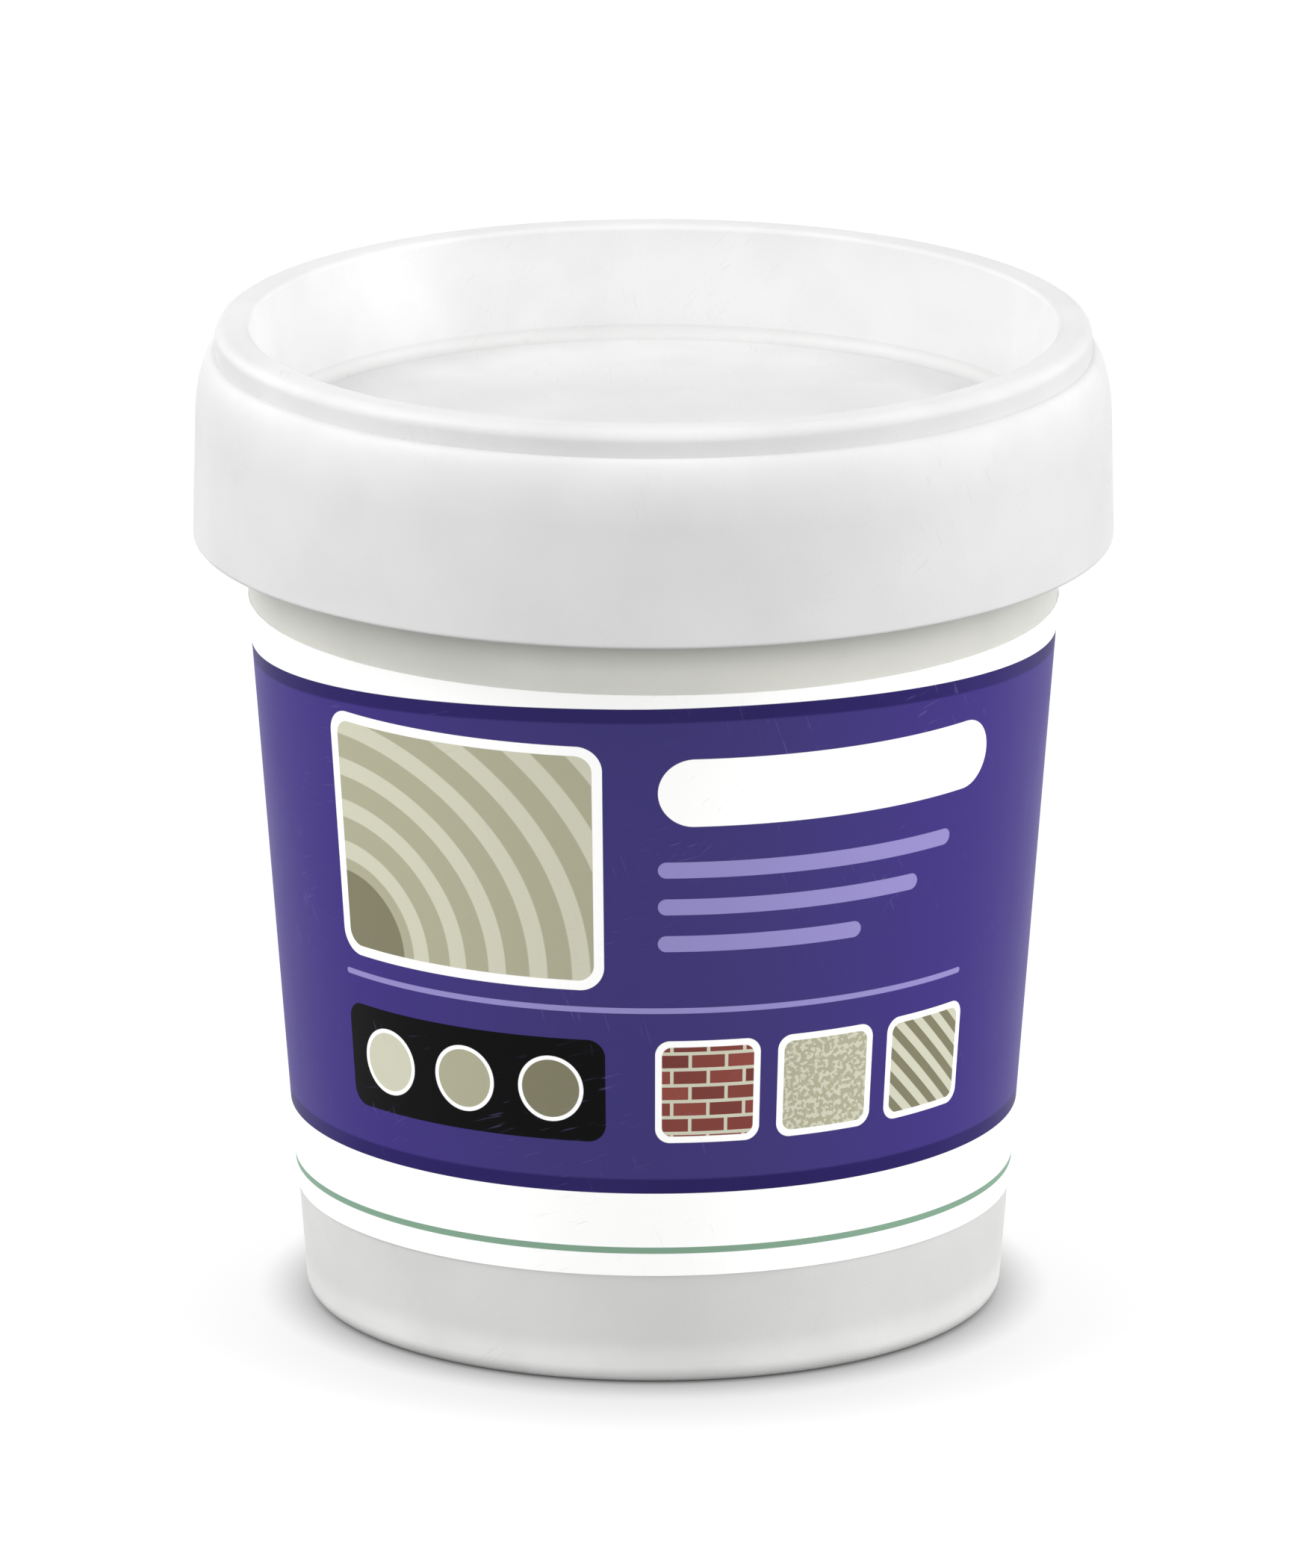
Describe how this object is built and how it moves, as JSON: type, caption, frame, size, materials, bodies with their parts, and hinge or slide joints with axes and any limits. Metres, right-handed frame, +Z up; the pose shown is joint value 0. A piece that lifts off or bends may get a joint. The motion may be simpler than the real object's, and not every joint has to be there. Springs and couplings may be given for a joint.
{
  "type": "filler tub",
  "caption": "Drafted round plastic tub of ready-mixed wall filler with a push-on recessed plug lid, a wrap-round printed label and a loose film over the paste.",
  "frame": {"origin": "on the tub's axis, in the plane of its foot ring", "axes": "+Z up along the tub's axis to the lid; the front of the label faces -Y and its lap is at +Y"},
  "size_m": [0.11, 0.11, 0.1198],
  "materials": {
    "tub_plastic": "moulded white polypropylene, satin, a little warm and cloudy",
    "lid_plastic": "moulded white polypropylene, satin",
    "label_print": "printed plastic film label, violet ground, satin",
    "filler_paste": "smooth off-white mineral paste, matt and slightly damp",
    "clear_film": "thin clear polyethylene film, slightly wrinkled"
  },
  "bodies": {
    "tub": {"tub": "tub_plastic", "label": "label_print", "filler": "filler_paste", "cover_film": "clear_film"},
    "lid": {"lid": "lid_plastic"}
  },
  "joints": [
    {"name": "lid_lift", "type": "slide", "parent": "tub", "child": "lid", "axis": [0, 0, 1], "range_m": [0, 0.08]}
  ]
}
